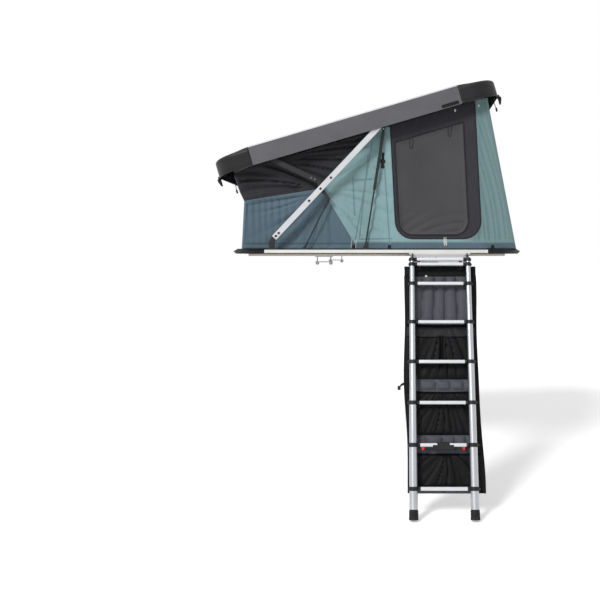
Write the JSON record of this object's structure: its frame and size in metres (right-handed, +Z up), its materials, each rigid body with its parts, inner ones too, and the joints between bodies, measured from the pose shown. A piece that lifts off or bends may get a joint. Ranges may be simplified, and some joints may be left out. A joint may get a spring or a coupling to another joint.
{
  "type": "roof top tent",
  "caption": "Hard-shell wedge roof top tent that opens on folding arms with gas struts, with fabric walls, mesh doors, crossbar clamps and a telescopic ladder with an organizer.",
  "frame": {"origin": "centre of the crossbar mounting pattern, on the underside of the mounting tracks", "axes": "+X along the tent to the high rear end, +Y across it away from the ladder side, +Z up"},
  "size_m": [2.2568, 1.9848, 2.9939],
  "materials": {
    "floor": "coated panel",
    "rail_metal": "satin anodised",
    "track_metal": "satin anodised",
    "cap_plastic": "fine moulded grain",
    "clamp_steel": "zinc plated",
    "bolt_steel": "zinc plated",
    "mattress_cloth": "woven cover over foam",
    "bracket_metal": "black powder coat",
    "black_cloth": "coated canvas",
    "slate_cloth": "poly-cotton canvas",
    "teal_cloth": "poly-cotton canvas",
    "mesh_cloth": "insect mesh",
    "lid_panel": "textured composite skin",
    "lid_side_metal": "grey powder coat",
    "lid_cap": "fine moulded grain",
    "trim_metal": "satin anodised",
    "liner_cloth": "quilted liner",
    "arm_metal": "satin anodised",
    "dark_metal": "black powder coat",
    "pin_steel": "plain",
    "roller_plastic": "acetal",
    "strut_paint": "gloss black",
    "strut_steel": "polished",
    "latch_plastic": "moulded",
    "tube_metal": "satin anodised",
    "rung_metal": "satin anodised, black collars",
    "foot_rubber": "ribbed",
    "grip_rubber": "soft grip",
    "tab_plastic": "moulded",
    "organizer_cloth": "coated polyester"
  },
  "bodies": {
    "base": {"floor_panel": "floor", "side_rails": "rail_metal", "end_rails": "rail_metal", "corner_caps": "cap_plastic", "mount_tracks": "track_metal", "clamp_saddles": "clamp_steel", "clamp_plates": "clamp_steel", "clamp_bolts": "bolt_steel", "mattress": "mattress_cloth", "pivot_brackets": "bracket_metal", "ladder_bar": "rail_metal", "canopy_front": "black_cloth", "canopy_lower": "slate_cloth", "canopy_rear": "teal_cloth", "door_surrounds": "black_cloth", "door_screens": "mesh_cloth"},
    "arms": {"long_arms": "arm_metal", "arm_goosenecks": "dark_metal", "strut_lugs": "dark_metal", "arm_pins": "pin_steel", "slider_rollers": "roller_plastic"},
    "short_links": {"short_arms": "dark_metal", "short_arm_cranks": "dark_metal", "short_arm_bolts": "pin_steel"},
    "lid": {"lid_roof": "lid_panel", "lid_sides": "lid_side_metal", "lid_front_cap": "lid_cap", "lid_rear_cap": "lid_cap", "lid_trims": "trim_metal", "lid_liner": "liner_cloth", "guide_channels": "trim_metal", "lid_pivot_blocks": "bracket_metal", "lid_grips": "latch_plastic", "latch_plates": "latch_plastic"},
    "rods": {"control_rods": "dark_metal"},
    "strut_cylinders": {"strut_tubes": "strut_paint"},
    "strut_pistons": {"strut_rods": "strut_steel"},
    "front_latch_near": {"latch_front_near": "latch_plastic"},
    "front_latch_far": {"latch_front_far": "latch_plastic"},
    "rear_latch_near": {"latch_rear_near": "latch_plastic"},
    "rear_latch_far": {"latch_rear_far": "latch_plastic"},
    "ladder_head": {"ladder_tubes_0": "tube_metal", "ladder_rung_0": "rung_metal", "organizer": "organizer_cloth"},
    "ladder_section_1": {"ladder_tubes_1": "tube_metal", "ladder_rung_1": "rung_metal"},
    "ladder_section_2": {"ladder_tubes_2": "tube_metal", "ladder_rung_2": "rung_metal"},
    "ladder_section_3": {"ladder_tubes_3": "tube_metal", "ladder_rung_3": "rung_metal"},
    "ladder_section_4": {"ladder_tubes_4": "tube_metal", "ladder_rung_4": "rung_metal"},
    "ladder_section_5": {"ladder_tubes_5": "tube_metal", "ladder_rung_5": "rung_metal"},
    "ladder_section_6": {"ladder_tubes_6": "tube_metal", "ladder_rung_6": "rung_metal", "ladder_feet": "foot_rubber", "ladder_grip": "grip_rubber"},
    "left_tab": {"release_tab_left": "tab_plastic"},
    "right_tab": {"release_tab_right": "tab_plastic"}
  },
  "joints": [
    {"name": "arm_fold", "type": "hinge", "parent": "base", "child": "arms", "pos_m": [-0.752, 0, 0.0635], "axis": [0, 1, 0], "range_deg": [0, 46.7], "stiffness_Nm_per_rad": 320, "springref_deg": -74.48, "deforming": ["canopy_front", "canopy_lower", "canopy_rear", "door_surrounds", "door_screens"]},
    {"name": "short_link_fold", "type": "hinge", "parent": "arms", "child": "short_links", "pos_m": [-0.40055, 0, 0.48529], "axis": [0, 1, 0], "range_deg": [-71.8, 0]},
    {"name": "lid_fold", "type": "hinge", "parent": "short_links", "child": "lid", "pos_m": [-0.87046, 0, 0.75296], "axis": [0, 1, 0], "range_deg": [0, 41.5]},
    {"name": "rod_fold", "type": "hinge", "parent": "base", "child": "rods", "pos_m": [-0.52122, 0, 0.056], "axis": [0, 1, 0], "range_deg": [0, 63.4]},
    {"name": "strut_swing", "type": "hinge", "parent": "arms", "child": "strut_cylinders", "pos_m": [0.05315, 0, 0.9179], "axis": [0, 1, 0], "range_deg": [0, 34.6]},
    {"name": "strut_stroke", "type": "slide", "parent": "strut_cylinders", "child": "strut_pistons", "axis": [0.1554, 0, 0.9879], "range_m": [0, 0.3607]},
    {"name": "front_latch_near_swing", "type": "hinge", "parent": "lid", "child": "front_latch_near", "pos_m": [-1.17622, -0.48, 0.57867], "axis": [0, 1, 0], "range_deg": [0, 100]},
    {"name": "front_latch_far_swing", "type": "hinge", "parent": "lid", "child": "front_latch_far", "pos_m": [-1.17622, 0.48, 0.57867], "axis": [0, 1, 0], "range_deg": [0, 100]},
    {"name": "rear_latch_near_swing", "type": "hinge", "parent": "lid", "child": "rear_latch_near", "pos_m": [0.90668, -0.48, 1.19087], "axis": [0, -1, 0], "range_deg": [0, 100]},
    {"name": "rear_latch_far_swing", "type": "hinge", "parent": "lid", "child": "rear_latch_far", "pos_m": [0.90668, 0.48, 1.19087], "axis": [0, -1, 0], "range_deg": [0, 100]},
    {"name": "ladder_tilt", "type": "hinge", "parent": "base", "child": "ladder_head", "pos_m": [0.456, -0.722, 0.01], "axis": [-1, 0, 0], "range_deg": [0, 60]},
    {"name": "ladder_slide_1", "type": "slide", "parent": "ladder_head", "child": "ladder_section_1", "axis": [0, 0.2924, 0.9563], "range_m": [-0.239, 0]},
    {"name": "ladder_slide_2", "type": "slide", "parent": "ladder_section_1", "child": "ladder_section_2", "axis": [0, 0.2924, 0.9563], "range_m": [-0.133, 0.106]},
    {"name": "ladder_slide_3", "type": "slide", "parent": "ladder_section_2", "child": "ladder_section_3", "axis": [0, 0.2924, 0.9563], "range_m": [0, 0.239]},
    {"name": "ladder_slide_4", "type": "slide", "parent": "ladder_section_3", "child": "ladder_section_4", "axis": [0, 0.2924, 0.9563], "range_m": [0, 0.239]},
    {"name": "ladder_slide_5", "type": "slide", "parent": "ladder_section_4", "child": "ladder_section_5", "axis": [0, 0.2924, 0.9563], "range_m": [0, 0.239]},
    {"name": "ladder_slide_6", "type": "slide", "parent": "ladder_section_5", "child": "ladder_section_6", "axis": [0, 0.2924, 0.9563], "range_m": [0, 0.239]},
    {"name": "release_left", "type": "slide", "parent": "ladder_section_6", "child": "left_tab", "axis": [1, 0, 0], "range_m": [0, 0.01], "stiffness_N_per_m": 120, "springref_m": -0.004},
    {"name": "release_right", "type": "slide", "parent": "ladder_section_6", "child": "right_tab", "axis": [-1, 0, 0], "range_m": [0, 0.01], "stiffness_N_per_m": 120, "springref_m": -0.004}
  ],
  "couplings": [
    {"joint": "short_link_fold", "follows": "arm_fold", "ratio": -1.5353},
    {"joint": "lid_fold", "follows": "arm_fold", "ratio": 0.88606},
    {"joint": "rod_fold", "follows": "arm_fold", "ratio": 1.3553},
    {"joint": "strut_swing", "follows": "arm_fold", "ratio": 0.73945},
    {"joint": "strut_stroke", "follows": "arm_fold", "m_per_rad": 0.44216}
  ]
}
